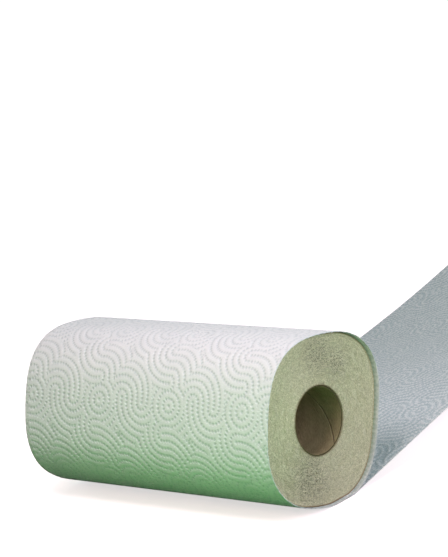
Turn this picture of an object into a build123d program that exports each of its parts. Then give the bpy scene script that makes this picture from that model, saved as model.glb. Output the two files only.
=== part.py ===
from build123d import *
from math import cos, radians, sin
import os

# Roll of embossed kitchen towel lying on its side, with its last two sheets drawn off behind it.
# X runs along the core, Y points the way the drawn-off sheets run, and Z is up from the floor.
# The origin is on the floor, under the core's axis and half way along the outer turn.

# Web: one long strip of towel, wound round the core
sheet_width = 230.0
sheet_length = 220.0
sheets_drawn_off = 2
sheet_thickness = 0.8

# Cardboard core, glued to the first turn
core_bore_radius = 22.5
core_wall = 0.9
core_recess = 0.8
glue_line = 0.1

# Section of the soft roll, pressed out of round in its pack
roll_radius = 58.4
oval = 2.3
oval_angle = 52.0
pear = 0.7
pear_angle = 32.6
squareness = 2.4
square_angle = 28.6
off_centre_y = 1.1
off_centre_z = 0.4
flat_spot_sink = 0.6
outline_step = 15

# The outer turn slid along the roll when the sheets were pulled
outer_turn_slip = 4.0

# Spiral of the turns, cut into both end faces at a coarse pitch
spiral_turns = 8
spiral_margin = 2.0
spiral_gap = 0.7
spiral_depth = 0.6
spiral_step = 30

# Drawn-off sheets, stretch by stretch from the roll, and how far each edge turns upwards in it.
# The near edge lifts first and then sags, and the far edge lies longer on the floor.
flat_stretch = 2.5
lift_stretch = 10.5
near_lift_angle = 11.9
straight_stretch = 110.0
sag_stretch = 114.0
near_sag_angle = -10.0
twist_stretch = 53.0
near_twist_angle = -1.9
far_twist_angle = 8.3
near_end_angle = 4.0
far_end_angle = 5.7

# Perforation between two drawn-off sheets, at a coarser pitch than the real one
perforation_slits = 20
perforation_bond = 3.0
slit_width = 0.5

core_radius = core_bore_radius + core_wall
web_bore_radius = core_radius + glue_line
drawn_length = sheets_drawn_off * sheet_length
outer_turn_near = sheet_width / 2
outer_turn_far = -sheet_width / 2
face_near = outer_turn_near - outer_turn_slip
face_far = outer_turn_far - outer_turn_slip
slit_pitch = sheet_width / perforation_slits
floor_cut = 4 * roll_radius
lower_half_steps = 720


def outline_radius(angle):
    """Radius of the roll's outside, in the direction of an angle in degrees from +Y."""
    return (
        roll_radius
        + oval * cos(2 * radians(angle - oval_angle))
        + pear * cos(3 * radians(angle - pear_angle))
        + squareness * cos(4 * radians(angle - square_angle))
    )


def turn_point(angle, depth):
    """Point on the turn that lies a depth below the outside: round at the core, squarish outside."""
    share = 1 - depth / (roll_radius - web_bore_radius)
    radius = (1 - share) * web_bore_radius + share * outline_radius(angle)
    y = share * off_centre_y + radius * cos(radians(angle))
    z = share * off_centre_z + radius * sin(radians(angle))
    return (y, z)


lower_half = [180 + 180 * i / lower_half_steps for i in range(lower_half_steps)]
lowest_angle = min(lower_half, key=lambda angle: turn_point(angle, 0)[1])
lowest_y, lowest_z = turn_point(lowest_angle, 0)
axis_height = -lowest_z - flat_spot_sink


def section_plane(x):
    """Plane across the roll at x, with its centre on the core's axis."""
    return Plane(origin=(x, 0, axis_height), x_dir=(0, 1, 0), z_dir=(1, 0, 0))


def turn_arcs(points):
    """Arcs along a turn, each through three of its points."""
    for first, middle, last in zip(points[:-2:2], points[1:-1:2], points[2::2]):
        ThreePointArc(first, middle, last)


def turn_section(depth):
    """Section of the roll within one turn, pressed flat where it rests."""
    outline = [turn_point(angle, depth) for angle in range(0, 360, outline_step)]
    with BuildSketch() as section:
        with BuildLine():
            turn_arcs(outline + outline[:1])
        make_face()
        with Locations((0, depth - axis_height)):
            Rectangle(floor_cut, floor_cut, align=(Align.CENTER, Align.MAX), mode=Mode.SUBTRACT)
    return section.sketch


def spiral_section():
    """Gap between the turns: one spiral, from where the sheets leave the roll in to the core."""
    wound = roll_radius - web_bore_radius - 2 * spiral_margin
    steps = spiral_turns * 360 // spiral_step
    angles = [lowest_angle - spiral_step * i for i in range(steps + 1)]
    depths = [spiral_margin + wound * i / steps for i in range(steps + 1)]
    outer_side = [turn_point(angle, depth) for angle, depth in zip(angles, depths)]
    inner_side = [turn_point(angle, depth + spiral_gap) for angle, depth in zip(angles, depths)]
    with BuildSketch() as section:
        with BuildLine():
            turn_arcs(outer_side)
            turn_arcs(inner_side)
            Line(outer_side[0], inner_side[0])
            Line(outer_side[-1], inner_side[-1])
        make_face()
    return section.sketch


def sheet_line(turns):
    """Underside of the drawn-off sheets at one edge: points on it and the directions there."""
    points = [Vector(lowest_y, -axis_height)]
    headings = [0]
    for length, turn in zip(stretches, turns):
        half_turn = turn / 2
        chord = length * (sin(radians(half_turn)) / radians(half_turn) if turn else 1)
        points.append(points[-1] + Vector(chord, 0).rotate(Axis.Z, headings[-1] + half_turn))
        headings.append(headings[-1] + turn)
    return points, [Vector(1, 0).rotate(Axis.Z, heading) for heading in headings]


def sheet_section(turns):
    """Edge of the drawn-off sheets: a smooth line that turns in each stretch, one sheet thick."""
    points, along = sheet_line(turns)
    top_points = [point + sheet_thickness * way.rotate(Axis.Z, 90) for point, way in zip(points, along)]
    with BuildSketch() as section:
        with BuildLine():
            Spline(points, tangents=along)
            Spline(top_points, tangents=along)
            Line(points[0], top_points[0])
            Line(points[-1], top_points[-1])
        make_face()
    return section.sketch


def tear_plane(distance):
    """Plane in the drawn-off sheets, along the line across them at a distance from the roll."""
    lines = []
    for x, turns in ((outer_turn_far, far_turns), (outer_turn_near, near_turns)):
        points, along = sheet_line(turns)
        lines.append(section_plane(x) * Spline(points, tangents=along))
    far_end, near_end = [line.position_at(distance, position_mode=PositionMode.LENGTH) for line in lines]
    far_way, near_way = [line.tangent_at(distance, position_mode=PositionMode.LENGTH) for line in lines]
    across = near_end - far_end
    return Plane(origin=(far_end + near_end) / 2, x_dir=across, z_dir=across.cross(far_way + near_way))


stretches = [flat_stretch, lift_stretch, straight_stretch, sag_stretch, twist_stretch]
stretches.append(drawn_length - sum(stretches))
near_turns = [0, near_lift_angle, 0, near_sag_angle, near_twist_angle, near_end_angle]
far_turns = [0, 0, 0, 0, far_twist_angle, far_end_angle]

outer_section = turn_section(0)
inner_section = turn_section(sheet_thickness)
turn_gap = spiral_section()
tear_planes = [tear_plane(sheet * sheet_length) for sheet in range(1, sheets_drawn_off)]

with BuildPart() as paper_web:
    # Turns, with the outer one standing proud at the near end and set back at the far end
    with BuildSketch(section_plane(outer_turn_far)):
        add(outer_section)
    extrude(amount=sheet_width)
    with BuildSketch(section_plane(face_near)):
        add(inner_section)
    extrude(amount=outer_turn_slip, mode=Mode.SUBTRACT)
    with BuildSketch(section_plane(face_far)):
        add(inner_section)
    extrude(amount=outer_turn_slip)
    # Bore for the core
    with BuildSketch(section_plane(face_far)):
        Circle(web_bore_radius)
    extrude(amount=sheet_width + outer_turn_slip, mode=Mode.SUBTRACT)
    # Gap between the turns in both faces
    with BuildSketch(section_plane(face_far), section_plane(face_near - spiral_depth)):
        add(turn_gap)
    extrude(amount=spiral_depth, mode=Mode.SUBTRACT)
    # Drawn-off sheets, ruled from the far edge to the near edge
    with BuildSketch(section_plane(outer_turn_far)):
        add(sheet_section(far_turns))
    with BuildSketch(section_plane(outer_turn_near)):
        add(sheet_section(near_turns))
    loft(ruled=True)
    # Perforations where the drawn-off sheets tear apart
    for plane in tear_planes:
        with BuildSketch(plane):
            with GridLocations(slit_pitch, slit_pitch, perforation_slits, 1):
                Rectangle(slit_pitch - perforation_bond, slit_width)
        extrude(amount=2 * sheet_thickness, both=True, mode=Mode.SUBTRACT)

with BuildPart() as core_tube:
    with BuildSketch(section_plane(face_far + core_recess)):
        Circle(core_radius)
        Circle(core_bore_radius, mode=Mode.SUBTRACT)
    extrude(amount=sheet_width - 2 * core_recess)

paper_web.part.label = "paper_web"
core_tube.part.label = "core_tube"

os.makedirs("parts", exist_ok=True)
export_step(paper_web.part, "parts/paper_web.step")
export_step(core_tube.part, "parts/core_tube.step")

print("axis height", round(axis_height, 3), "flat spot at y", round(lowest_y, 3))
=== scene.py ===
import math

import bpy
import numpy as np
from mathutils import Matrix, Vector, noise


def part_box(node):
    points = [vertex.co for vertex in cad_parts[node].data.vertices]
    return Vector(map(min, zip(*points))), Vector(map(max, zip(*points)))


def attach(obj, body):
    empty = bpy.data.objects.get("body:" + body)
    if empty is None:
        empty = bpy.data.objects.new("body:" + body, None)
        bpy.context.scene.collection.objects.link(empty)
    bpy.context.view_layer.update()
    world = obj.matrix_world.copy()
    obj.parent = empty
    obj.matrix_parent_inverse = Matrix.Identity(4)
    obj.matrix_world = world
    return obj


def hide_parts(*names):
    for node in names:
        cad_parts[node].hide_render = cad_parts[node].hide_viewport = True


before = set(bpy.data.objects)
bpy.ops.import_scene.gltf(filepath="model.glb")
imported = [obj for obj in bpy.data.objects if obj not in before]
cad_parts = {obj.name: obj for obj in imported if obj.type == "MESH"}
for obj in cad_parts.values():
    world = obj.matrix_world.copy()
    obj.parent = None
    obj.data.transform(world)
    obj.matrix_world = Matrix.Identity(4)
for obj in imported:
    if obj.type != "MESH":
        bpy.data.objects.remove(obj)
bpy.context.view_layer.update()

# Kitchen towel roll lying on its side, with two sheets drawn off behind it.
# Sizes are millimetres, turned to metres where points are set. X runs along the core.

mm = 0.001
weldDistance = 0.001       # points closer than this are made one
hair = 0.01                # and within this they count as being in one place
smoothAngle = 55           # degrees: edges sharper than this stay sharp
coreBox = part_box("core_tube")
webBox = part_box("paper_web")
axisHeight = (coreBox[0][2] + coreBox[1][2]) / 2 / mm
outerTurnNear = webBox[1][0] / mm
print("frame loaded, core axis at", round(axisHeight, 3))

towel = {
    "width": 230.0,
    "sheetLength": 220.0,
    "gridStep": 1.07,              # of the sheets' mesh, fine enough for a dot's slopes
    "turnThickness": 0.8,          # what one turn takes up in the roll
    "paperThickness": 0.42,
    "reliefDepth": 0.205,          # how deep the dots are pressed in
    "outerTurnSlip": 4.0,          # the outer turn slid along when the sheets were pulled
    "bondPitch": 4,                # grid steps from bond to bond along a perforation
    "slitHalfWidth": 0.22,         # how far a slit pulls each of its sides back
    "liftOffFloor": 0.04,
    "lipSide": 0.35,               # the lip's inner side takes less painted shade, so it is nearly as light as the outer side
    "creaseReach": 2.2,            # how far up the lip the shade beside the turns' edges reaches
    "creaseAngle": -20.0,          # and where it is deepest: at the rear, a little below the axis
    "creaseFade": 1.5,
    "creaseDashes": (3.2, 0.25),   # pitch of its dashes, and how much it fades between them
    "sawnWaver": (1.6, 0.5),       # how long and how deep the sawn sides waver
}

rollSection = {
    "radius": 58.4,
    "oval": (2.3, 52.0),           # how far out of round, and towards which angle
    "pear": (0.7, 32.6),
    "square": (2.4, 28.6),
    "offCentreY": 1.1,
    "offCentreZ": 0.4,
    "boreRadius": 23.5,            # the first turn, with its line of glue
}

# Drawn-off sheets: length of each stretch, and the degrees that the near and the far edge turn up
drawnStretches = [
    (2.5, 0.0, 0.0),
    (10.5, 11.9, 0.0),
    (110.0, 0.0, 0.0),
    (114.0, -10.0, 0.0),
    (53.0, -1.9, 8.3),
    (150.0, 4.0, 5.7),
]


def deselectAll():
    bpy.ops.object.select_all(action="DESELECT")


def setPoints(piece, points):
    piece.data.vertices.foreach_set("co", (points * mm).astype(np.float32).ravel())
    piece.data.update()


def getPoints(piece):
    points = np.empty(3 * len(piece.data.vertices), dtype=np.float32)
    piece.data.vertices.foreach_get("co", points)
    return points.reshape(-1, 3).astype(float)


def closedBand(name, rows, columns):
    # A flat grid that is later rolled up both ways, with the row and column of each of its points
    deselectAll()
    bpy.ops.mesh.primitive_grid_add(x_subdivisions=rows, y_subdivisions=columns, size=2)
    piece = bpy.context.object
    piece.name = piece.data.name = name
    flat = getPoints(piece)
    row = np.round((flat[:, 0] + 1) / 2 * rows).astype(int)
    column = np.round((flat[:, 1] + 1) / 2 * columns).astype(int)
    return piece, row, column


def faceOutwards(piece):
    bpy.ops.object.mode_set(mode="EDIT")
    bpy.ops.mesh.select_all(action="SELECT")
    bpy.ops.mesh.remove_doubles(threshold=weldDistance * mm)
    bpy.ops.mesh.normals_make_consistent(inside=False)
    bpy.ops.object.mode_set(mode="OBJECT")
    bpy.ops.object.shade_smooth_by_angle(angle=math.radians(smoothAngle))


# Shape of the roll's section, as angles in degrees from the rear, up over the top

def outlineRadius(angle):
    ovalSize, ovalAngle = rollSection["oval"]
    pearSize, pearAngle = rollSection["pear"]
    squareSize, squareAngle = rollSection["square"]
    return (
        rollSection["radius"]
        + ovalSize * np.cos(2 * np.radians(angle - ovalAngle))
        + pearSize * np.cos(3 * np.radians(angle - pearAngle))
        + squareSize * np.cos(4 * np.radians(angle - squareAngle))
    )


def turnPoint(angle, depth):
    share = 1 - depth / (rollSection["radius"] - rollSection["boreRadius"])
    radius = (1 - share) * rollSection["boreRadius"] + share * outlineRadius(angle)
    y = share * rollSection["offCentreY"] + radius * np.cos(np.radians(angle))
    z = share * rollSection["offCentreZ"] + radius * np.sin(np.radians(angle)) + axisHeight
    pressed = np.minimum(depth, axisHeight - rollSection["boreRadius"])
    return y, np.maximum(z, pressed)    # flat where the roll rests


# Length round the outline by angle, for more than the one turn that the outer sheets take
angleTable = np.arange(-200.0, 480.0, 0.25)
outlineY, outlineZ = turnPoint(angleTable, 0.0)
arcTable = np.concatenate([[0.0], np.cumsum(np.hypot(np.diff(outlineY), np.diff(outlineZ)))])
arcTable = arcTable - np.interp(0.0, angleTable, arcTable)
perimeter = np.interp(360.0, angleTable, arcTable)

lowerHalf = (angleTable > 180) & (angleTable < 360)
rawHeight = outlineRadius(angleTable) * np.sin(np.radians(angleTable))
leaveAngle = angleTable[lowerHalf][np.argmin(rawHeight[lowerHalf])]
leaveArc = np.interp(leaveAngle, angleTable, arcTable)
leaveY = float(turnPoint(leaveAngle, 0.0)[0])
print("one turn is", round(float(perimeter), 1), "mm, sheets leave at", leaveAngle, "degrees")


def drawnEdge(whichTurn):
    # One edge's height and way along the floor, by its length from where the sheets leave the roll
    lengths, ys, zs = [0.0], [leaveY], [0.0]
    heading, step = 0.0, 0.25
    for stretch in drawnStretches:
        steps = round(stretch[0] / step)
        for index in range(steps):
            along = math.radians(heading + stretch[whichTurn] * (index + 0.5) / steps)
            lengths.append(lengths[-1] + step)
            ys.append(ys[-1] + step * math.cos(along))
            zs.append(zs[-1] + step * math.sin(along))
        heading += stretch[whichTurn]
    return np.array(lengths), np.array(ys), np.array(zs)


nearEdge, farEdge = drawnEdge(1), drawnEdge(2)


def stripPoint(x, arc, depth):
    # A point of the towel strip: on the roll up to where it leaves, then along the drawn-off sheets
    angle = np.interp(arc, arcTable, angleTable)
    rollY, rollZ = turnPoint(angle, depth)
    length = arc - leaveArc
    share = x / towel["width"] + 0.5
    sheetY = (1 - share) * np.interp(length, farEdge[0], farEdge[1]) + share * np.interp(
        length, nearEdge[0], nearEdge[1])
    sheetZ = (1 - share) * np.interp(length, farEdge[0], farEdge[2]) + share * np.interp(
        length, nearEdge[0], nearEdge[2]) + depth
    drawn = length > 0
    return np.stack([x, np.where(drawn, sheetY, rollY), np.where(drawn, sheetZ, rollZ)], axis=1)


# Embossed pattern, in millimetres along the roll and round it: rows of dots round rings and
# along two kinds of S, in a cell that repeats

emboss = {
    "cellAlong": 67.5,
    "cellRound": 59.2,
    "ringAt": (24.2, 163.1),       # along the roll, and round it from the rear
    "ringReach": 5.5,
    "rowPitch": 5.0,
    "dotPitch": 2.75,
    "dotShape": (1.25, 0.75),      # weights of the cosines across a row and along it
    "dotEdge": (0.05, 1.8),        # where a dot starts and where it is deepest, on their sum
    "groove": 0.08,                # how much of a dot's depth runs on between the dots
    "waver": 0.45,                 # how far and over what length the rows stray
    "waverLength": 41.0,
    "waverSpread": (1.7, 1.4),     # its length the other way, as a share of the first
    "waverShift": (1.3, 0.4, 2.0),
}

# The two centres of each S, from the ring, with one centre to each side of the line between them
embossPairs = [
    ((-4.5, -40.0), (-2.0, -15.12)),
    ((22.4, -3.2), (42.2, -0.4)),
]


def embossOwner(x, arc):
    # Which centre each point's rows run round: its place and the direction of its pair's line
    count, unclaimed = len(x), 1e9
    nearest = np.full(count, unclaimed)
    owner = np.zeros((count, 3))
    ringX, ringArc = emboss["ringAt"]
    cellX = np.round((x - ringX) / emboss["cellAlong"])
    cellArc = np.round((arc - ringArc) / emboss["cellRound"])

    def claim(distance, centreX, centreArc, lineAngle):
        won = distance < nearest
        nearest[won] = distance[won]
        owner[won, 0], owner[won, 1], owner[won, 2] = centreX[won], centreArc[won], lineAngle

    for i in (-1, 0, 1):
        for j in (-1, 0, 1):
            fromX = ringX + (cellX + i) * emboss["cellAlong"]
            fromArc = ringArc + (cellArc + j) * emboss["cellRound"]
            claim(np.hypot(x - fromX, arc - fromArc) - emboss["ringReach"], fromX, fromArc, 0.0)
            for first, second in embossPairs:
                firstX, firstArc = fromX + first[0], fromArc + first[1]
                secondX, secondArc = fromX + second[0], fromArc + second[1]
                lineX, lineArc = second[0] - first[0], second[1] - first[1]
                apart = math.hypot(lineX, lineArc)
                lineX, lineArc = lineX / apart, lineArc / apart
                along = (x - firstX) * lineX + (arc - firstArc) * lineArc
                side = (x - firstX) * lineArc - (arc - firstArc) * lineX
                if abs(lineX) > abs(lineArc):
                    side = -side
                offLine = np.hypot(np.clip(along, 0, apart) - along, side)
                lineAngle = math.atan2(lineArc, lineX)
                for centreX, centreArc, rules in (
                        (firstX, firstArc, side <= 0), (secondX, secondArc, side > 0)):
                    reach = np.minimum(np.hypot(x - centreX, arc - centreArc), offLine)
                    claim(np.where(rules, reach, unclaimed), centreX, centreArc, lineAngle)
    return owner


def waver(x, arc):
    # Paper stretches a little between the rolls, so the rows aren't quite regular
    size, length = emboss["waver"], emboss["waverLength"] / (2 * math.pi)
    spreadX, spreadArc = emboss["waverSpread"]
    shifts = emboss["waverShift"]
    moreX = size * np.sin(arc / length + shifts[0]) * np.cos(x / (spreadX * length))
    moreArc = size * np.sin(x / length + shifts[1]) * np.cos(arc / (spreadArc * length) + shifts[2])
    return x + moreX, arc + moreArc


def embossRelief(x, arc):
    x, arc = waver(x, arc)
    owner = embossOwner(x, arc)
    radius = np.hypot(x - owner[:, 0], arc - owner[:, 1])
    turned = np.arctan2(arc - owner[:, 1], x - owner[:, 0]) - owner[:, 2]
    row = np.round(radius / emboss["rowPitch"])
    dots = 2 * np.round(math.pi * row * emboss["rowPitch"] / emboss["dotPitch"])
    acrossRow = np.cos(2 * math.pi * radius / emboss["rowPitch"])
    acrossShare, alongShare = emboss["dotShape"]
    start, deepest = emboss["dotEdge"]
    waves = acrossShare * acrossRow + alongShare * np.cos(turned * dots)
    dot = np.clip((waves - start) / (deepest - start), 0, 1)
    dot = dot * dot * (3 - 2 * dot)
    groove = emboss["groove"]
    return (1 - groove) * dot + groove * (0.5 + 0.5 * acrossRow)


def cornerPoints(mesh):
    corners = np.empty(len(mesh.loops), dtype=np.int32)
    mesh.loops.foreach_get("vertex_index", corners)
    return corners


def addMap(mesh, name, across, along):
    layer = mesh.uv_layers.new(name=name)
    layer.data.foreach_set("uv", np.stack([across, along], axis=1).astype(np.float32).ravel())


def mapEmboss(piece, x, arc):
    # Two UV maps: millimetres along the strip for its fibres, and for its dots the rows out from
    # their centre and the turns round it
    mesh = piece.data
    corners = cornerPoints(mesh)
    addMap(mesh, "stripMap", x[corners], arc[corners])
    x, arc = waver(x, arc)
    starts = np.empty(len(mesh.polygons), dtype=np.int32)
    sizes = np.empty(len(mesh.polygons), dtype=np.int32)
    mesh.polygons.foreach_get("loop_start", starts)
    mesh.polygons.foreach_get("loop_total", sizes)
    faceX = np.add.reduceat(x[corners], starts) / sizes
    faceArc = np.add.reduceat(arc[corners], starts) / sizes
    owner = embossOwner(faceX, faceArc)
    faceAngle = np.arctan2(faceArc - owner[:, 1], faceX - owner[:, 0])
    owner, faceAngle = np.repeat(owner, sizes, axis=0), np.repeat(faceAngle, sizes)
    aside, ahead = x[corners] - owner[:, 0], arc[corners] - owner[:, 1]
    angle = np.arctan2(ahead, aside)
    angle = faceAngle + (angle - faceAngle + math.pi) % (2 * math.pi) - math.pi
    rows = np.hypot(aside, ahead) / emboss["rowPitch"]
    turns = (angle - owner[:, 2]) / (2 * math.pi)
    addMap(mesh, "embossMap", rows, turns)


def lipCreaseShade(x, arc):
    # Shade in the crease between the lip and the edges of the turns behind it, broken into dashes
    angle = np.interp(arc, arcTable, angleTable) - towel["creaseAngle"]
    fromFace = (x - outerTurnNear + towel["outerTurnSlip"]) / towel["creaseReach"]
    pitch, fade = towel["creaseDashes"]
    dashes = 1 - fade + fade * np.cos(2 * math.pi * arc / pitch)
    atRear = np.clip(np.cos(np.radians(angle)), 0, 1) ** towel["creaseFade"]
    return np.exp(-fromFace ** 2) * atRear * dashes * (arc < leaveArc)


def addAttribute(piece, name, values):
    attribute = piece.data.attributes.new(name, "FLOAT", "POINT")
    attribute.data.foreach_set("value", values.astype(np.float32))


# Materials

def linear(hexColour):
    channels = [int(hexColour[i:i + 2], 16) / 255 for i in (1, 3, 5)]
    return [c / 12.92 if c <= 0.04045 else ((c + 0.055) / 1.055) ** 2.4 for c in channels] + [1.0]


def newMaterial(name):
    material = bpy.data.materials.new(name)
    material.use_nodes = True
    return material, material.node_tree, material.node_tree.nodes["Principled BSDF"]


def setShader(shader, settings):
    for key, value in settings.items():
        shader.inputs[key].default_value = value


def addNode(tree, kind, inputs=None, **settings):
    made = tree.nodes.new(kind)
    for key, value in settings.items():
        setattr(made, key, value)
    for key, value in (inputs or {}).items():
        if isinstance(value, bpy.types.Node):
            value = value.outputs[0]
        if isinstance(value, bpy.types.NodeSocket):
            tree.links.new(value, made.inputs[key])
        else:
            made.inputs[key].default_value = value
    return made


tissue = {
    "paper": "#F6F5F3",
    "paintedShade": "#B6C2C4",
    "crease": "#94A88C",           # painted shade on the lip's inner side where it meets the edges of the turns
    "pitShade": 0.25,              # painted shade: how far the dots on the outer side go towards the shade colour
    "groundShade": 0.76,           # and the ground between the beads on the inner side
    "rowShade": 0.1,               # the row between two dots has this share of a pit's painted shade
    "rowLight": 0.15,              # and this share of a bead's painted light
    # painted light: wrinkles on the inner side, lighter in colour but not in the bump
    "wrinkle": 2.2,
    "wrinkleWidth": 0.09,          # of the noise, to each side of its middle
    "wrinkleLight": 0.8,
    "fibreLength": 0.9,
    "fibreHeight": 0.22,           # the next three are shares of a dot's depth and of its shade
    "crepeHeight": 0.3,
    "fibreShade": 0.45,
    "crepeAlong": 3.6,             # crepe runs across the strip: long along x, short round the roll
    "crepeAcross": 0.75,           # drawn coarser than the real 0.3 mm, so that it shows
    "mottle": 15.0,
    "mottleShade": 0.2,
    "evenShade": -0.1,             # takes off part of what the fibres and the mottling add
    "bump": 0.35,
}


def towelMaterial():
    # Creped two-ply tissue, embossed by a pinned steel roller: matt and fibrous, with dots that are
    # pressed in on the outer side and stand up on the inner side. Shade is painted into the pits,
    # and on the inner side around the beads and wrinkles, so that these read a little lighter
    material, tree, shader = newMaterial("embossed two-ply tissue")
    emboss2d = addNode(tree, "ShaderNodeSeparateXYZ", {
        0: addNode(tree, "ShaderNodeUVMap", uv_map="embossMap")})
    rows, turns = emboss2d.outputs[0], emboss2d.outputs[1]
    rowPhase = addNode(tree, "ShaderNodeMath", {0: rows, 1: 2 * math.pi}, operation="MULTIPLY")
    rowWave = addNode(tree, "ShaderNodeMath", {0: rowPhase}, operation="COSINE")
    wholeRows = addNode(tree, "ShaderNodeMath", {0: rows}, operation="ROUND")
    halfDots = addNode(tree, "ShaderNodeMath", {
        0: wholeRows, 1: math.pi * emboss["rowPitch"] / emboss["dotPitch"]}, operation="MULTIPLY")
    halfDots = addNode(tree, "ShaderNodeMath", {0: halfDots}, operation="ROUND")
    dotPhase = addNode(tree, "ShaderNodeMath", {0: turns, 1: halfDots}, operation="MULTIPLY")
    dotPhase = addNode(tree, "ShaderNodeMath", {0: dotPhase, 1: 4 * math.pi}, operation="MULTIPLY")
    dotWave = addNode(tree, "ShaderNodeMath", {0: dotPhase}, operation="COSINE")
    acrossShare, alongShare = emboss["dotShape"]
    bothWaves = addNode(tree, "ShaderNodeMath", {0: dotWave, 1: alongShare}, operation="MULTIPLY")
    bothWaves = addNode(tree, "ShaderNodeMath", {
        0: rowWave, 1: acrossShare, 2: bothWaves}, operation="MULTIPLY_ADD")
    dot = addNode(tree, "ShaderNodeMapRange", {
        "Value": bothWaves, "From Min": emboss["dotEdge"][0], "From Max": emboss["dotEdge"][1]},
        interpolation_type="SMOOTHSTEP")
    ridge = addNode(tree, "ShaderNodeMapRange", {
        "Value": rowWave, "From Min": -1.0, "From Max": 1.0})
    pattern = addNode(tree, "ShaderNodeMix", {0: emboss["groove"], 2: dot, 3: ridge})

    strip = addNode(tree, "ShaderNodeUVMap", uv_map="stripMap")
    fibres = addNode(tree, "ShaderNodeTexNoise", {
        "Vector": strip, "Scale": 1 / tissue["fibreLength"], "Detail": 3.0, "Roughness": 0.65})
    crepeSpace = addNode(tree, "ShaderNodeMapping", {
        "Vector": strip, "Scale": (1 / tissue["crepeAlong"], 1 / tissue["crepeAcross"], 1.0)})
    crepe = addNode(tree, "ShaderNodeTexNoise", {"Vector": crepeSpace, "Scale": 1.0, "Detail": 2.0})
    mottle = addNode(tree, "ShaderNodeTexNoise", {
        "Vector": strip, "Scale": 1 / tissue["mottle"], "Detail": 2.0})
    wrinkles = addNode(tree, "ShaderNodeTexNoise", {
        "Vector": strip, "Scale": 1 / tissue["wrinkle"], "Detail": 1.0})
    wrinkles = addNode(tree, "ShaderNodeMath", {0: wrinkles, 1: 0.5}, operation="SUBTRACT")
    wrinkles = addNode(tree, "ShaderNodeMath", {0: wrinkles}, operation="ABSOLUTE")
    wrinkles = addNode(tree, "ShaderNodeMapRange", {
        "Value": wrinkles, "From Max": tissue["wrinkleWidth"], "To Min": 1.0, "To Max": 0.0})

    side = addNode(tree, "ShaderNodeAttribute", attribute_name="towelSide").outputs["Fac"]
    dotHeight = addNode(tree, "ShaderNodeMath", {0: pattern, 1: side}, operation="MULTIPLY")
    height = addNode(tree, "ShaderNodeMath", {
        0: fibres, 1: tissue["fibreHeight"], 2: dotHeight}, operation="MULTIPLY_ADD")
    height = addNode(tree, "ShaderNodeMath", {
        0: crepe, 1: tissue["crepeHeight"], 2: height}, operation="MULTIPLY_ADD")
    bump = addNode(tree, "ShaderNodeBump", {
        "Strength": 1.0, "Distance": tissue["bump"] * mm, "Height": height})
    tree.links.new(bump.outputs[0], shader.inputs["Normal"])

    # Painted shade lies in the dots on the outer side, and between the beads and wrinkles on the
    # inner side
    inner = addNode(tree, "ShaderNodeMapRange", {"Value": side, "From Min": -1.0, "From Max": 1.0})
    hollows = addNode(tree, "ShaderNodeMath", {
        0: ridge, 1: tissue["rowShade"], 2: dot}, operation="MULTIPLY_ADD")
    pitShade = addNode(tree, "ShaderNodeMath", {
        0: hollows, 1: tissue["pitShade"]}, operation="MULTIPLY")
    beads = addNode(tree, "ShaderNodeMath", {
        0: ridge, 1: tissue["rowLight"], 2: dot}, operation="MULTIPLY_ADD")
    beads = addNode(tree, "ShaderNodeMath", {
        0: wrinkles, 1: tissue["wrinkleLight"], 2: beads}, operation="MULTIPLY_ADD")
    groundShade = addNode(tree, "ShaderNodeMapRange", {
        "Value": beads, "To Min": tissue["groundShade"], "To Max": 0.0})
    shade = addNode(tree, "ShaderNodeMix", {0: inner, 2: pitShade, 3: groundShade})
    grain = addNode(tree, "ShaderNodeMath", {
        0: fibres, 1: tissue["fibreShade"], 2: tissue["evenShade"]}, operation="MULTIPLY_ADD")
    grain = addNode(tree, "ShaderNodeMath", {
        0: mottle, 1: tissue["mottleShade"], 2: grain}, operation="MULTIPLY_ADD")
    shade = addNode(tree, "ShaderNodeMath", {0: shade, 1: grain}, operation="ADD", use_clamp=True)
    colour = addNode(tree, "ShaderNodeMix", {
        0: shade, 6: linear(tissue["paper"]), 7: linear(tissue["paintedShade"])}, data_type="RGBA")
    crease = addNode(tree, "ShaderNodeAttribute", attribute_name="lipCreaseShade").outputs["Fac"]
    colour = addNode(tree, "ShaderNodeMix", {
        0: crease, 6: colour.outputs[2], 7: linear(tissue["crease"])}, data_type="RGBA")
    tree.links.new(colour.outputs[2], shader.inputs["Base Color"])
    setShader(shader, {
        "Roughness": 0.95, "IOR": 1.47, "Specular IOR Level": 0.15,
        "Sheen Weight": 0.12, "Sheen Roughness": 0.6})
    return material


cutEdges = {
    "light": "#EFE8CB",
    "dark": "#BAB68F",
    "pinholeAndGapShade": "#6A634A",            # painted shade in the pinholes, and in the gaps between the turns
    "rim": "#8A6C48",              # where the outer turn and the core shade the edges
    "grain": 0.8,
    "grainFrom": (0.32, 0.68),     # values of the noise between which the tone changes
    "grainHeight": 0.4,
    "speckSize": 0.75,
    "speckFrom": (0.51, 0.6),
    "raggedSize": 25.0,            # patches with more pinholes, and their share of them
    "raggedFrom": (0.4, 0.7),
    "raggedShare": (0.1, 0.35),
    "raggedSpots": [(10.7, 100.0, 25.0), (26.0, 89.0, 19.0), (-17.5, 24.0, 31.0)],  # y, z, reach
    "spotMiddle": 0.1,             # of its reach, where a torn spot is at its full share
    "spotShare": 0.85,
    "tornLight": 0.6,              # a torn spot is fresh paper, and so less dark
    "gapFrom": 0.2,                # height of the wave from turn to turn at which a gap starts
    "dashScale": 0.8,              # gaps are broken into dashes by noise on the turns' map
    "dashFrom": (0.42, 0.75),
    "dashShare": (0.04, 0.7),
    "bump": 0.45,
}


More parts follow.
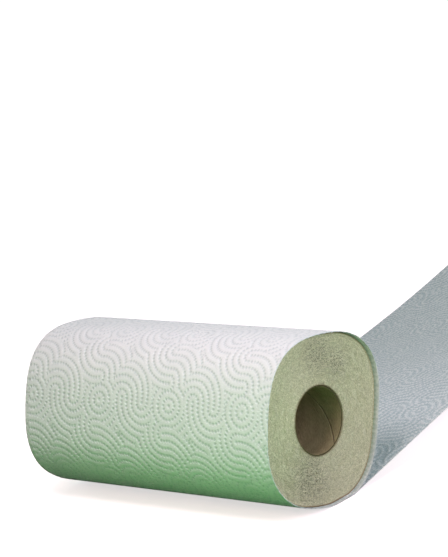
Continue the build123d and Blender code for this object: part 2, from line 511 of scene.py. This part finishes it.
def turnEdgeMaterial():
    # Sawn edges of forty-odd turns of tissue: creamier and rougher than its face, with pinholes
    # where the dots of neighbouring turns meet, most of all where the saw tore a little. Shade is
    # painted into the pinholes and into the gaps between the turns
    material, tree, shader = newMaterial("sawn tissue edges")
    place = addNode(tree, "ShaderNodeTexCoord").outputs["Object"]
    flatPlace = addNode(tree, "ShaderNodeVectorMath", {
        0: place, 1: (0.0, 1.0, 1.0)}, operation="MULTIPLY")
    grain = addNode(tree, "ShaderNodeTexNoise", {
        "Vector": place, "Scale": 1 / (cutEdges["grain"] * mm), "Detail": 2.0, "Roughness": 0.6})
    specks = addNode(tree, "ShaderNodeTexNoise", {
        "Vector": place, "Scale": 1 / (cutEdges["speckSize"] * mm),
        "Detail": 2.0, "Roughness": 0.7})
    ragged = addNode(tree, "ShaderNodeTexNoise", {
        "Vector": place, "Scale": 1 / (cutEdges["raggedSize"] * mm)})
    ragged = addNode(tree, "ShaderNodeMapRange", {
        "Value": ragged,
        "From Min": cutEdges["raggedFrom"][0], "From Max": cutEdges["raggedFrom"][1],
        "To Min": cutEdges["raggedShare"][0], "To Max": cutEdges["raggedShare"][1]})
    for y, z, reach in cutEdges["raggedSpots"]:
        away = addNode(tree, "ShaderNodeVectorMath", {
            0: flatPlace, 1: (0.0, y * mm, z * mm)}, operation="DISTANCE").outputs["Value"]
        spot = addNode(tree, "ShaderNodeMapRange", {
            "Value": away,
            "From Min": cutEdges["spotMiddle"] * reach * mm, "From Max": reach * mm,
            "To Min": cutEdges["spotShare"], "To Max": 0.0}, interpolation_type="SMOOTHSTEP")
        ragged = addNode(tree, "ShaderNodeMath", {0: ragged, 1: spot}, operation="MAXIMUM")
    pinholes = addNode(tree, "ShaderNodeMapRange", {
        "Value": specks,
        "From Min": cutEdges["speckFrom"][0], "From Max": cutEdges["speckFrom"][1]},
        interpolation_type="SMOOTHSTEP")
    pinholes = addNode(tree, "ShaderNodeMath", {0: pinholes, 1: ragged}, operation="MULTIPLY")

    # Painted shade in the gaps between the turns, broken into dashes
    turnMap = addNode(tree, "ShaderNodeUVMap", uv_map="turnMap")
    dashes = addNode(tree, "ShaderNodeTexNoise", {
        "Vector": turnMap, "Scale": cutEdges["dashScale"], "Detail": 1.0})
    turn = addNode(tree, "ShaderNodeSeparateXYZ", {0: turnMap})
    gapPhase = addNode(tree, "ShaderNodeMath", {
        0: turn.outputs[0], 1: 2 * math.pi}, operation="MULTIPLY")
    gapWave = addNode(tree, "ShaderNodeMath", {0: gapPhase}, operation="COSINE")
    gaps = addNode(tree, "ShaderNodeMapRange", {"Value": gapWave, "From Min": cutEdges["gapFrom"]})
    dashes = addNode(tree, "ShaderNodeMapRange", {
        "Value": dashes,
        "From Min": cutEdges["dashFrom"][0], "From Max": cutEdges["dashFrom"][1],
        "To Min": cutEdges["dashShare"][0], "To Max": cutEdges["dashShare"][1]})
    gaps = addNode(tree, "ShaderNodeMath", {0: gaps, 1: dashes}, operation="MULTIPLY")

    coarse = addNode(tree, "ShaderNodeMapRange", {
        "Value": grain,
        "From Min": cutEdges["grainFrom"][0], "From Max": cutEdges["grainFrom"][1]})
    tornFresh = addNode(tree, "ShaderNodeMath", {
        0: ragged, 1: -cutEdges["tornLight"], 2: 1.0}, operation="MULTIPLY_ADD")
    darkShare = addNode(tree, "ShaderNodeMath", {0: coarse, 1: tornFresh}, operation="MULTIPLY")
    base = addNode(tree, "ShaderNodeMix", {
        0: darkShare, 6: linear(cutEdges["light"]), 7: linear(cutEdges["dark"])}, data_type="RGBA")
    dark = addNode(tree, "ShaderNodeMath", {
        0: pinholes, 1: gaps}, operation="MAXIMUM", use_clamp=True)
    specked = addNode(tree, "ShaderNodeMix", {
        0: dark, 6: base.outputs[2], 7: linear(cutEdges["pinholeAndGapShade"])}, data_type="RGBA")
    rim = addNode(tree, "ShaderNodeAttribute", attribute_name="rimShade").outputs["Fac"]
    colour = addNode(tree, "ShaderNodeMix", {
        0: rim, 6: specked.outputs[2], 7: linear(cutEdges["rim"])}, data_type="RGBA")
    tree.links.new(colour.outputs[2], shader.inputs["Base Color"])
    depth = addNode(tree, "ShaderNodeMath", {
        0: coarse, 1: -cutEdges["grainHeight"], 2: dark}, operation="MULTIPLY_ADD")
    bump = addNode(tree, "ShaderNodeBump", {
        "Strength": 0.8, "Distance": cutEdges["bump"] * mm, "Height": depth}, invert=True)
    tree.links.new(bump.outputs[0], shader.inputs["Normal"])
    setShader(shader, {"Roughness": 1.0, "Specular IOR Level": 0.1})
    return material


coreBoard = {
    "dark": "#7D6D4E",
    "light": "#BCA983",
    "seam": "#2B2015",
    # painted shade on the board's cut ends, round the bore's mouth
    "cutEndShade": "#575238",
    "fibreLength": 4.5,
    "fibreWidth": 0.5,
    "fleck": 1.1,
    "blotch": 17.0,
    "toneShares": (0.6, 0.4, 0.3), # of the fibres, the flecks and the blotches
    "toneFrom": (0.45, 0.85),
    "bump": 0.25,
}


def coreMaterial():
    # Core board wound from recycled kraft: matt grey-brown, with fibres and flecks along its ply
    material, tree, shader = newMaterial("spiral-wound core board")
    ply = addNode(tree, "ShaderNodeUVMap", uv_map="plyMap")
    fibreSpace = addNode(tree, "ShaderNodeMapping", {
        "Vector": ply, "Scale": (1 / coreBoard["fibreLength"], 1 / coreBoard["fibreWidth"], 1.0)})
    fibres = addNode(tree, "ShaderNodeTexNoise", {
        "Vector": fibreSpace, "Scale": 1.0, "Detail": 4.0, "Roughness": 0.7})
    flecks = addNode(tree, "ShaderNodeTexNoise", {
        "Vector": ply, "Scale": 1 / coreBoard["fleck"], "Detail": 2.0, "Roughness": 0.6})
    blotches = addNode(tree, "ShaderNodeTexNoise", {
        "Vector": ply, "Scale": 1 / coreBoard["blotch"], "Detail": 2.0})
    tone = 0.0
    for pattern, share in zip((fibres, flecks, blotches), coreBoard["toneShares"]):
        tone = addNode(tree, "ShaderNodeMath", {
            0: pattern, 1: share, 2: tone}, operation="MULTIPLY_ADD")
    tone = addNode(tree, "ShaderNodeMapRange", {
        "Value": tone,
        "From Min": coreBoard["toneFrom"][0], "From Max": coreBoard["toneFrom"][1]})
    board = addNode(tree, "ShaderNodeMix", {
        0: tone, 6: linear(coreBoard["dark"]), 7: linear(coreBoard["light"])}, data_type="RGBA")
    seam = addNode(tree, "ShaderNodeAttribute", attribute_name="seamShade").outputs["Fac"]
    colour = addNode(tree, "ShaderNodeMix", {
        0: seam, 6: board.outputs[2], 7: linear(coreBoard["seam"])}, data_type="RGBA")
    cutEndShade = addNode(tree, "ShaderNodeAttribute", attribute_name="cutEndShade").outputs["Fac"]
    colour = addNode(tree, "ShaderNodeMix", {
        0: cutEndShade, 6: colour.outputs[2], 7: linear(coreBoard["cutEndShade"])}, data_type="RGBA")
    tree.links.new(colour.outputs[2], shader.inputs["Base Color"])
    bump = addNode(tree, "ShaderNodeBump", {
        "Strength": 0.6, "Distance": coreBoard["bump"] * mm, "Height": tone})
    tree.links.new(bump.outputs[0], shader.inputs["Normal"])
    setShader(shader, {"Roughness": 0.9, "Specular IOR Level": 0.2})
    return material


# Pieces

def makeSheet(name, fromArc, toArc, innerSide, material):
    deselectAll()
    stepsAlong = round(towel["width"] / towel["gridStep"])
    stepsRound = round((toArc - fromArc) / towel["gridStep"])
    bpy.ops.mesh.primitive_grid_add(x_subdivisions=stepsAlong, y_subdivisions=stepsRound, size=2)
    sheet = bpy.context.object
    sheet.name = sheet.data.name = name
    flat = getPoints(sheet)
    x = -flat[:, 0] * towel["width"] / 2
    atEdge = 0.9999                # the grid runs from -1 to 1 both ways
    sawn = np.abs(flat[:, 0]) > atEdge
    arc = fromArc + (flat[:, 1] + 1) / 2 * (toArc - fromArc)
    relief = embossRelief(x, arc) * towel["reliefDepth"]

    # Perforation: slits pull the edge back, and short bonds still reach the next sheet
    column = np.round((flat[:, 0] + 1) / 2 * stepsAlong).astype(int)
    slit = column % towel["bondPitch"] != 0
    arc = arc + np.where(slit & (flat[:, 1] < -atEdge), towel["slitHalfWidth"], 0)
    arc = arc - np.where(slit & (flat[:, 1] > atEdge), towel["slitHalfWidth"], 0)

    points = stripPoint(x, arc, relief)
    points[:, 2] += towel["liftOffFloor"]
    length, depth = towel["sawnWaver"]
    points[sawn, 0] += [
        depth * noise.noise((along / length, side, 0.0)) for side, along in zip(x[sawn], arc[sawn])]
    setPoints(sheet, points)
    solidify = sheet.modifiers.new("plies", "SOLIDIFY")
    solidify.thickness = towel["paperThickness"] * mm
    solidify.offset = -1
    bpy.ops.object.modifier_apply(modifier=solidify.name)
    faceOutwards(sheet)
    sides = np.concatenate([
        -np.ones(len(x)), np.full(len(sheet.data.vertices) - len(x), innerSide)])
    mapEmboss(sheet, np.tile(x, 2), np.tile(arc, 2))
    addAttribute(sheet, "towelSide", sides)     # -1 on the outer side, up to 1 on the inner side
    addAttribute(sheet, "lipCreaseShade", np.concatenate([np.zeros(len(x)), lipCreaseShade(x, arc)]))
    sheet.data.materials.append(material)
    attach(sheet, "root")
    print(name, "made,", len(sheet.data.polygons), "faces")
    return sheet


woundTurns = {
    "columns": 150,
    "samplesPerTurn": 6,
    "gapDepth": 0.5,
    "gapSharpness": 1.5,
    "gapEvenness": 0.7,            # the less of it, the more the roughness changes a gap's depth
    "wobble": 0.22,
    "setBack": 0.9,                # shares of the wobble: turns set back, and turns that lean
    "leanShare": 1.2,
    "leanPerTurn": 0.6,
    "leanLength": 40.0,
    "roughLength": 3.0,
    "faceShift": (7.0, 9.0),       # keeps the roughness and the lean of the two ends apart
    "bandSteps": 5,
    "rimWidth": 0.7,               # painted shade: a dark line under the outer turn, and a fainter one at the core
    "rimAtSides": 0.35,
    "rimFade": 3,
    "coreRimShade": 0.45,
    "mapRadius": 20.0,             # as if each turn lay this far out, for the dashes along it
}


def makeWoundTurns(faceMaterial, wallMaterial):
    near = outerTurnNear - towel["outerTurnSlip"]
    far = near - towel["width"]
    outermost = towel["turnThickness"]
    innermost = rollSection["radius"] - rollSection["boreRadius"]
    faceTurns = (innermost - outermost) / towel["turnThickness"]
    faceRows = round(faceTurns * woundTurns["samplesPerTurn"])
    faceDepths = np.linspace(outermost, innermost, faceRows)
    band = np.linspace(far, far + towel["outerTurnSlip"], woundTurns["bandSteps"])[1:]
    middle = (near + far) / 2

    # The section's own outline, from the near face's rim, in along it, and back by the far face
    depths = np.concatenate([
        faceDepths, [innermost], faceDepths[::-1], np.full(len(band), outermost)])
    rowX = np.concatenate([np.full(faceRows, near), [middle], np.full(faceRows, far), band])
    facing = np.concatenate([np.ones(faceRows), [0], -np.ones(faceRows), np.zeros(len(band))])
    facing[[0, faceRows - 1, faceRows + 1, 2 * faceRows]] = 0
    rows, columns = len(depths), woundTurns["columns"]
    turns, row, column = closedBand("wound_turns", rows, columns)
    angle = column * 360.0 / columns
    depth, x, face = depths[row % rows], rowX[row % rows], facing[row % rows]
    spiral = depth / towel["turnThickness"] + (angle - leaveAngle) / 360
    arc = np.interp(angle, angleTable, arcTable)
    gaps = (0.5 + 0.5 * np.cos(2 * math.pi * spiral)) ** woundTurns["gapSharpness"]
    y, z = turnPoint(angle, depth)
    roughLength, leanLength = woundTurns["roughLength"], woundTurns["leanLength"]
    roughShift, leanShift = woundTurns["faceShift"]
    perTurn = woundTurns["leanPerTurn"]
    rough = np.array([
        noise.noise((ay / roughLength, az / roughLength, f * roughShift))
        for ay, az, f in zip(y, z, face)])
    lean = np.array([
        noise.noise((ay / leanLength, az / leanLength, s * perTurn + leanShift * f))
        for ay, az, s, f in zip(y, z, spiral, face)])
    leaning = woundTurns["leanShare"] * lean + woundTurns["setBack"]
    inwards = woundTurns["gapDepth"] * gaps * (woundTurns["gapEvenness"] + rough)
    inwards = inwards + woundTurns["wobble"] * (rough + leaning)
    x = x - face * np.maximum(inwards, 0)
    setPoints(turns, np.stack([x, y, z], axis=1))

    # The wall carries the second turn's embossing, and each face the spiral of its turns
    wall = (face == 0) & (depth < outermost + hair)
    turns.data.materials.append(faceMaterial)
    turns.data.materials.append(wallMaterial)
    corners = cornerPoints(turns.data)
    onWall = wall[corners.reshape(-1, 4)].all(axis=1)
    turns.data.polygons.foreach_set("material_index", onWall.astype(np.int32))
    mapEmboss(turns, x, arc - perimeter)
    cornerAngle = angle[corners].reshape(-1, 4)
    firstAngle = cornerAngle[:, :1]
    cornerAngle = (firstAngle + (cornerAngle - firstAngle + 180) % 360 - 180).ravel()
    cornerTurn = depth[corners] / towel["turnThickness"] + (cornerAngle - leaveAngle) / 360
    addMap(turns.data, "turnMap", cornerTurn, np.radians(cornerAngle) * woundTurns["mapRadius"])
    fromRim = (depth - outermost) / woundTurns["rimWidth"]
    fromCore = (innermost - depth) / woundTurns["rimWidth"]
    towardsTopOrFoot = np.abs(np.sin(np.radians(angle))) ** woundTurns["rimFade"]
    atSides = woundTurns["rimAtSides"]
    rim = np.maximum(
        np.exp(-fromRim ** 2) * (atSides + (1 - atSides) * towardsTopOrFoot),
        woundTurns["coreRimShade"] * np.exp(-fromCore ** 2))
    addAttribute(turns, "rimShade", rim)
    addAttribute(turns, "towelSide", -np.ones(len(x)))
    faceOutwards(turns)
    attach(turns, "root")
    print(turns.name, "made,", len(turns.data.polygons), "faces")
    return turns


spiralCore = {
    "boreRadius": 22.5,
    "outsideRadius": 23.4,
    "endInset": 0.25,              # how far the two ends' edges are taken off
    "seamLead": 99.0,              # how far the seam runs along the tube in one turn
    "seamAt": 92.8,                # where it crosses the rear of the wall
    "seamWidth": 1.3,
    "seamDepth": 0.3,
    "seamAcross": (-1.0, -0.45, 0.0, 0.45, 1.0),    # its section, in shares of its half width
    "seamSunk": (0.0, 0.75, 1.0, 0.75, 0.0),        # and of its depth
    "columns": 144,
    "rows": 60,
}


def makeCore(material):
    nearEnd, farEnd = coreBox[1][0] / mm, coreBox[0][0] / mm
    rows, columns = spiralCore["rows"], spiralCore["columns"]
    inside, outside = spiralCore["boreRadius"], spiralCore["outsideRadius"]
    endInset = spiralCore["endInset"]
    wallX = np.linspace(nearEnd, farEnd, rows)
    boreX = np.linspace(nearEnd - endInset, farEnd + endInset, rows)
    insideX = np.concatenate([[nearEnd], boreX, [farEnd]])
    profileX = np.concatenate([insideX, [farEnd], wallX[::-1], [nearEnd]])
    edge = [outside - endInset]
    profileRadius = np.concatenate([
        np.full(rows + 2, inside), edge, np.full(rows, outside), edge])
    tube, row, column = closedBand("spiral_core", len(profileX), columns)

    # Columns follow the plies' helix, and the first few close up round the butt seam
    halfSeam = math.degrees(spiralCore["seamWidth"] / 2 / inside)
    seamColumns = np.array(spiralCore["seamAcross"]) * halfSeam
    between = np.linspace(halfSeam, 360 - halfSeam, columns - len(seamColumns) + 2)[1:-1]
    around = np.concatenate([seamColumns, between, seamColumns[:1] + 360])
    sunk = np.concatenate([spiralCore["seamSunk"], np.zeros(len(between) + 1)])
    wound = around[column]
    x, radius = profileX[row % len(profileX)], profileRadius[row % len(profileX)]
    lead = spiralCore["seamLead"]
    angle = wound - (x - spiralCore["seamAt"]) / lead * 360
    isInside = radius < inside + hair
    seam = sunk[column] * isInside
    radius = radius + seam * spiralCore["seamDepth"]
    y, z = radius * np.cos(np.radians(angle)), radius * np.sin(np.radians(angle)) + axisHeight
    setPoints(tube, np.stack([x, y, z], axis=1))

    # Ply map: millimetres across the ply's fibres, and along them
    corners = cornerPoints(tube.data)
    pitchAngle = math.atan2(2 * math.pi * inside, lead)
    acrossPly = np.radians(wound[corners]) * inside * math.cos(pitchAngle)
    alongPly = x[corners] / math.cos(pitchAngle)
    addMap(tube.data, "plyMap", alongPly, acrossPly)
    addAttribute(tube, "seamShade", seam)
    # Painted shade on the board's cut ends
    atEnd = (np.abs(x - nearEnd) < hair) | (np.abs(x - farEnd) < hair)
    addAttribute(tube, "cutEndShade", atEnd)
    tube.data.materials.append(material)
    faceOutwards(tube)
    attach(tube, "root")
    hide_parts("core_tube")
    print(tube.name, "made,", len(tube.data.polygons), "faces")


# Camera, at the photograph's viewing point

camera = {
    "at": (1249.841, -1165.731, 566.330),
    "looksThrough": (9.495, 38.834, 139.932),
    "roll": -11.416,
    "lens": 168.04,
}
bpy.ops.object.camera_add()
photoCamera = bpy.context.object
photoCamera.name = "photoCamera"
photoCamera.data.sensor_width = 36
photoCamera.data.lens = camera["lens"]
photoCamera.data.clip_end = 30
eye, target = Vector(camera["at"]) * mm, Vector(camera["looksThrough"]) * mm
turned = (target - eye).to_track_quat("-Z", "Y").to_matrix().to_4x4()
turned = turned @ Matrix.Rotation(math.radians(camera["roll"]), 4, "Z")
photoCamera.matrix_world = Matrix.Translation(eye) @ turned
bpy.context.scene.camera = photoCamera
print("camera set")

# Pieces of the towel

towelFace = towelMaterial()

sheetLength = towel["sheetLength"]
turnEnd = leaveArc - perimeter
topPerforation = leaveArc - sheetLength
outerRear = makeSheet("outer_turn_rear", turnEnd, topPerforation, towel["lipSide"], towelFace)
outerFront = makeSheet("outer_turn_front", topPerforation, leaveArc, towel["lipSide"], towelFace)
drawnFirst = makeSheet("drawn_sheet_first", leaveArc, leaveArc + sheetLength, 1.0, towelFace)
drawnLast = makeSheet(
    "drawn_sheet_last", leaveArc + sheetLength, leaveArc + 2 * sheetLength, 1.0, towelFace)
turns = makeWoundTurns(turnEdgeMaterial(), towelFace)
makeCore(coreMaterial())
for piece in (turns, outerRear, outerFront, drawnFirst, drawnLast):
    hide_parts("paper_web")

# Floor and light

stage = {
    "floorBounce": "#66E072",      # what the floor throws up at the towel, in front of it
    "floorBehind": "#A0A8A4",      # the same behind the roll and beyond its far end
    "behindFrom": (0.03, 0.12),    # metres behind the core's axis
    "beyondFrom": (-0.1, -0.2),    # metres along the axis
    "floorFootShadow": "#0A2C14",        # and a painted shadow close beside it
    "footReach": (0.036, 0.142),   # metres to both sides of the core's axis
    "bounceSpread": (0.85, 1.4),   # share of the bounce at the far and at the near end
    "spreadFrom": (-0.15, 0.15),   # metres along the axis
    "floorSize": 6,
    "floorSeen": (1.75, 1.38, 1.42),   # linear, and above 1 so that it stays pale in soft light
    "floorGlow": (0.6, 1.0),       # near the towel, and far from it
    "glowFrom": (0.35, 0.95),      # metres from the middle
    "ambient": ("#B4FFEE", 0.095),
}

lampAim = (0, 0, 50)
lamps = {                          # place, width, power and colour
    "keyLamp": ((110, -190, 560), 350, 1.9, "#FFF3FC"),
    "sideLamp": ((1100, -110, 395), 760, 8.0, "#F4F1FF"),
    "frontLamp": ((150, -760, 490), 500, 1.3, "#FFDAC6"),
    "rearLamp": ((-150, 1150, 700), 600, 2.1, "#F2FFFF"),
    "farLamp": ((-1100, 250, 180), 600, 2.6, "#E6F2FF"),
}

for name, (place, size, power, colour) in lamps.items():
    deselectAll()
    bpy.ops.object.light_add(type="AREA", location=Vector(place) * mm)
    lamp = bpy.context.object
    lamp.name = name
    lamp.data.shape = "DISK"
    lamp.data.size = size * mm
    lamp.data.energy = power
    lamp.data.color = linear(colour)[:3]
    lamp.rotation_euler = (Vector(lampAim) - Vector(place)).to_track_quat("-Z", "Y").to_euler()

deselectAll()
bpy.ops.mesh.primitive_plane_add(size=stage["floorSize"])
floor = bpy.context.object
floor.name = "floor"
floorMaterial, floorTree, floorShader = newMaterial("matt painted board")
setShader(floorShader, {"Roughness": 1.0, "Specular IOR Level": 0.0})
seenPaint = addNode(floorTree, "ShaderNodeBsdfDiffuse", {"Color": (*stage["floorSeen"], 1.0)})
onFloor = addNode(floorTree, "ShaderNodeTexCoord").outputs["Object"]
floorPlace = addNode(floorTree, "ShaderNodeSeparateXYZ", {0: onFloor})
fromAxis = addNode(floorTree, "ShaderNodeMath", {0: floorPlace.outputs[1]}, operation="ABSOLUTE")
# Painted shadow: the bounce darkens close beside the roll
fromFoot = addNode(floorTree, "ShaderNodeMapRange", {
    "Value": fromAxis, "From Min": stage["footReach"][0], "From Max": stage["footReach"][1]},
    interpolation_type="SMOOTHSTEP")
behind = addNode(floorTree, "ShaderNodeMapRange", {
    "Value": floorPlace.outputs[1],
    "From Min": stage["behindFrom"][0], "From Max": stage["behindFrom"][1]})
beyond = addNode(floorTree, "ShaderNodeMapRange", {
    "Value": floorPlace.outputs[0],
    "From Min": stage["beyondFrom"][0], "From Max": stage["beyondFrom"][1]})
behind = addNode(floorTree, "ShaderNodeMath", {0: behind, 1: beyond}, operation="MAXIMUM")
bounce = addNode(floorTree, "ShaderNodeMix", {
    0: behind, 6: linear(stage["floorBounce"]), 7: linear(stage["floorBehind"])}, data_type="RGBA")
bounce = addNode(floorTree, "ShaderNodeMix", {
    0: fromFoot, 6: linear(stage["floorFootShadow"]), 7: bounce.outputs[2]}, data_type="RGBA")
alongRoll = addNode(floorTree, "ShaderNodeMapRange", {
    "Value": floorPlace.outputs[0],
    "From Min": stage["spreadFrom"][0], "From Max": stage["spreadFrom"][1],
    "To Min": stage["bounceSpread"][0], "To Max": stage["bounceSpread"][1]})
bounce = addNode(floorTree, "ShaderNodeVectorMath", {
    0: bounce.outputs[2], "Scale": alongRoll.outputs[0]}, operation="SCALE")
floorTree.links.new(bounce.outputs[0], floorShader.inputs["Base Color"])
fromMiddle = addNode(floorTree, "ShaderNodeVectorMath", {0: onFloor}, operation="LENGTH")
glowStrength = addNode(floorTree, "ShaderNodeMapRange", {
    "Value": fromMiddle.outputs["Value"],
    "From Min": stage["glowFrom"][0], "From Max": stage["glowFrom"][1],
    "To Min": stage["floorGlow"][0], "To Max": stage["floorGlow"][1]})
glow = addNode(floorTree, "ShaderNodeEmission", {
    "Color": linear("#FFFFFF"), "Strength": glowStrength.outputs[0]})
seenFloor = addNode(floorTree, "ShaderNodeAddShader", {
    0: seenPaint.outputs[0], 1: glow.outputs[0]})
rays = addNode(floorTree, "ShaderNodeLightPath")
seen = addNode(floorTree, "ShaderNodeMath", {
    0: rays.outputs["Is Camera Ray"], 1: rays.outputs["Is Glossy Ray"]}, operation="MAXIMUM")
seen = addNode(floorTree, "ShaderNodeMath", {
    0: seen.outputs[0], 1: rays.outputs["Is Transmission Ray"]}, operation="MAXIMUM")
floorMix = addNode(floorTree, "ShaderNodeMixShader", {
    0: seen.outputs[0], 1: floorShader.outputs[0], 2: seenFloor.outputs[0]})
floorTree.links.new(floorMix.outputs[0], floorTree.nodes["Material Output"].inputs["Surface"])
floor.data.materials.append(floorMaterial)

world = bpy.context.scene.world or bpy.data.worlds.new("world")
bpy.context.scene.world = world
world.use_nodes = True
worldTree = world.node_tree
worldTree.nodes.clear()
ambient = addNode(worldTree, "ShaderNodeBackground", {
    "Color": linear(stage["ambient"][0]), "Strength": stage["ambient"][1]})
backdrop = addNode(worldTree, "ShaderNodeBackground", {"Color": linear("#FFFFFF"), "Strength": 1.0})
worldRays = addNode(worldTree, "ShaderNodeLightPath")
worldSeen = addNode(worldTree, "ShaderNodeMath", {
    0: worldRays.outputs["Is Camera Ray"], 1: worldRays.outputs["Is Glossy Ray"]},
    operation="MAXIMUM")
worldMix = addNode(worldTree, "ShaderNodeMixShader", {
    0: worldSeen.outputs[0], 1: ambient.outputs[0], 2: backdrop.outputs[0]})
addNode(worldTree, "ShaderNodeOutputWorld", {"Surface": worldMix.outputs[0]})

bpy.context.scene.view_settings.view_transform = "Standard"
print("floor and lights set")
